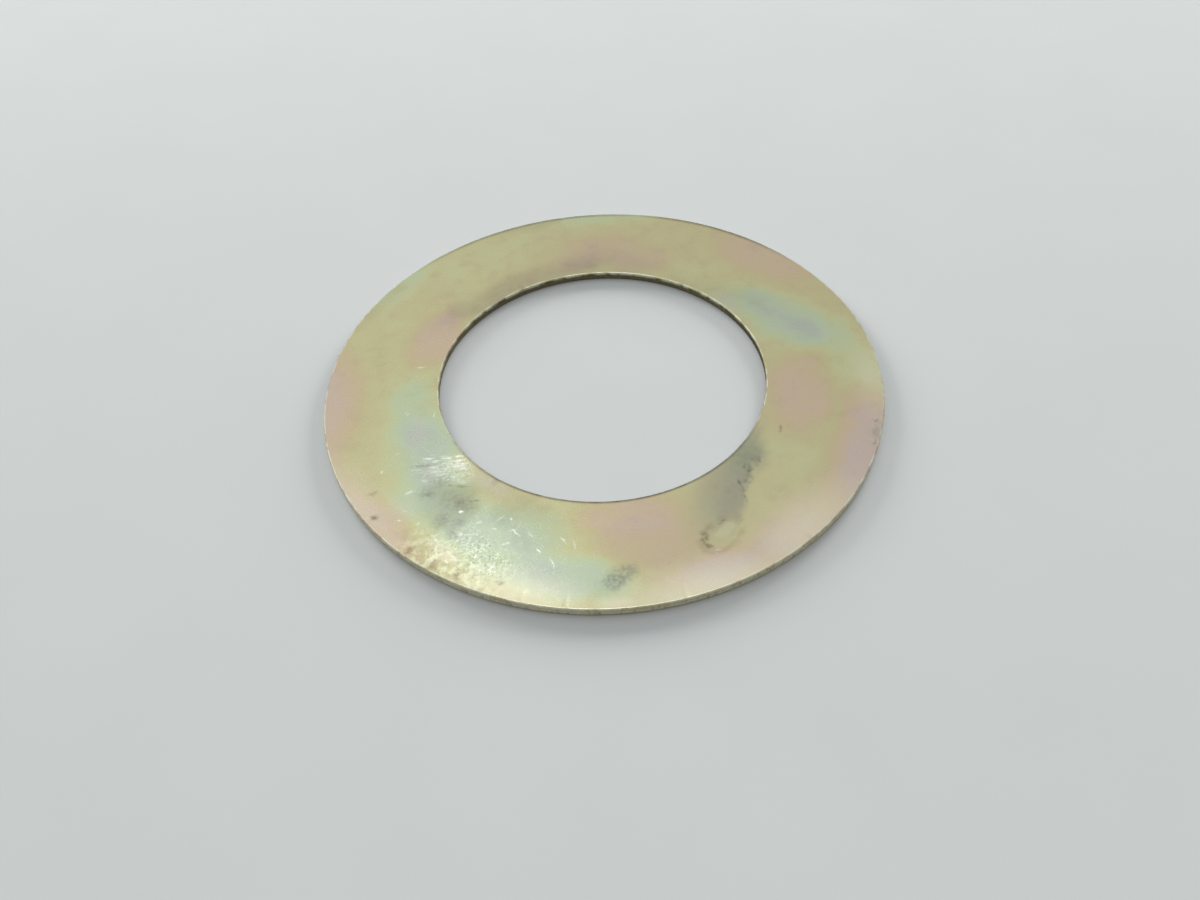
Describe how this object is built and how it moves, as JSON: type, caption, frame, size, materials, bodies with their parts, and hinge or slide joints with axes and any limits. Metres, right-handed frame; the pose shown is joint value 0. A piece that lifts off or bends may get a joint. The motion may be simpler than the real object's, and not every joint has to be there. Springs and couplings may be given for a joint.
{
  "type": "shim washer",
  "caption": "Thin flat ring of yellow-passivated zinc-plated steel with a wide plain bore, slipped over a pivot pin to take up end play.",
  "frame": {"origin": "centre of the bore, on the plane of the lower face that the ring lies on", "axes": "+Z along the bore axis, from the lower face with the tumbled edges towards the upper face with the rolled edges"},
  "size_m": [0.076, 0.076, 0.0012],
  "materials": {
    "zinc_plate": "yellow chromate passivate over bright zinc on steel: satin, pale gold with pink and green interference colours, stained and scratched"
  },
  "bodies": {
    "root": {"shim_ring": "zinc_plate"}
  },
  "joints": []
}
